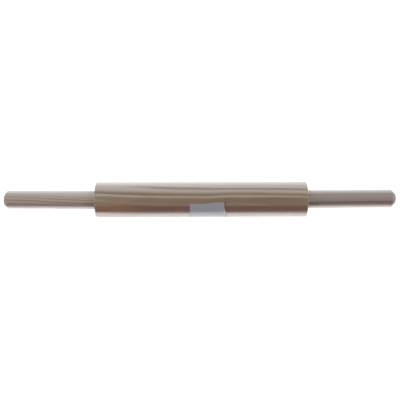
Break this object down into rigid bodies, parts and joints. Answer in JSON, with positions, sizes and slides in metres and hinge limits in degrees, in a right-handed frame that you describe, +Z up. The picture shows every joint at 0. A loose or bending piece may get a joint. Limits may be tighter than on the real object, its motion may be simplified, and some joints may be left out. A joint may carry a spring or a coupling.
{
  "type": "rolling pin",
  "caption": "Straight cylindrical pine rolling pin whose barrel turns on a steel axle between slim chamfered dowel handles, with a small blank label.",
  "frame": {"origin": "on the table plane under the middle of the barrel, in the pin's lying position", "axes": "+X along the pin's axis towards its right handle, +Z up, and the label on the upper front towards -Y"},
  "size_m": [0.4384, 0.0402, 0.04],
  "materials": {
    "pine_barrel": "sanded pine with broad flat-sawn growth bands, faintly glossy",
    "pine_handle": "sanded pine dowel with fine growth lines",
    "steel": "bright drawn rod",
    "nylon": "natural nylon",
    "label_paper": "blank pale lilac-grey coated paper"
  },
  "bodies": {
    "handles": {"handle_left": "pine_handle", "handle_right": "pine_handle", "axle": "steel"},
    "roller": {"barrel": "pine_barrel", "bush_left": "nylon", "bush_right": "nylon", "label": "label_paper"}
  },
  "joints": [
    {"name": "roller_spin", "type": "hinge", "parent": "handles", "child": "roller", "pos_m": [0, 0, 0.02], "axis": [1, 0, 0], "continuous": true}
  ]
}
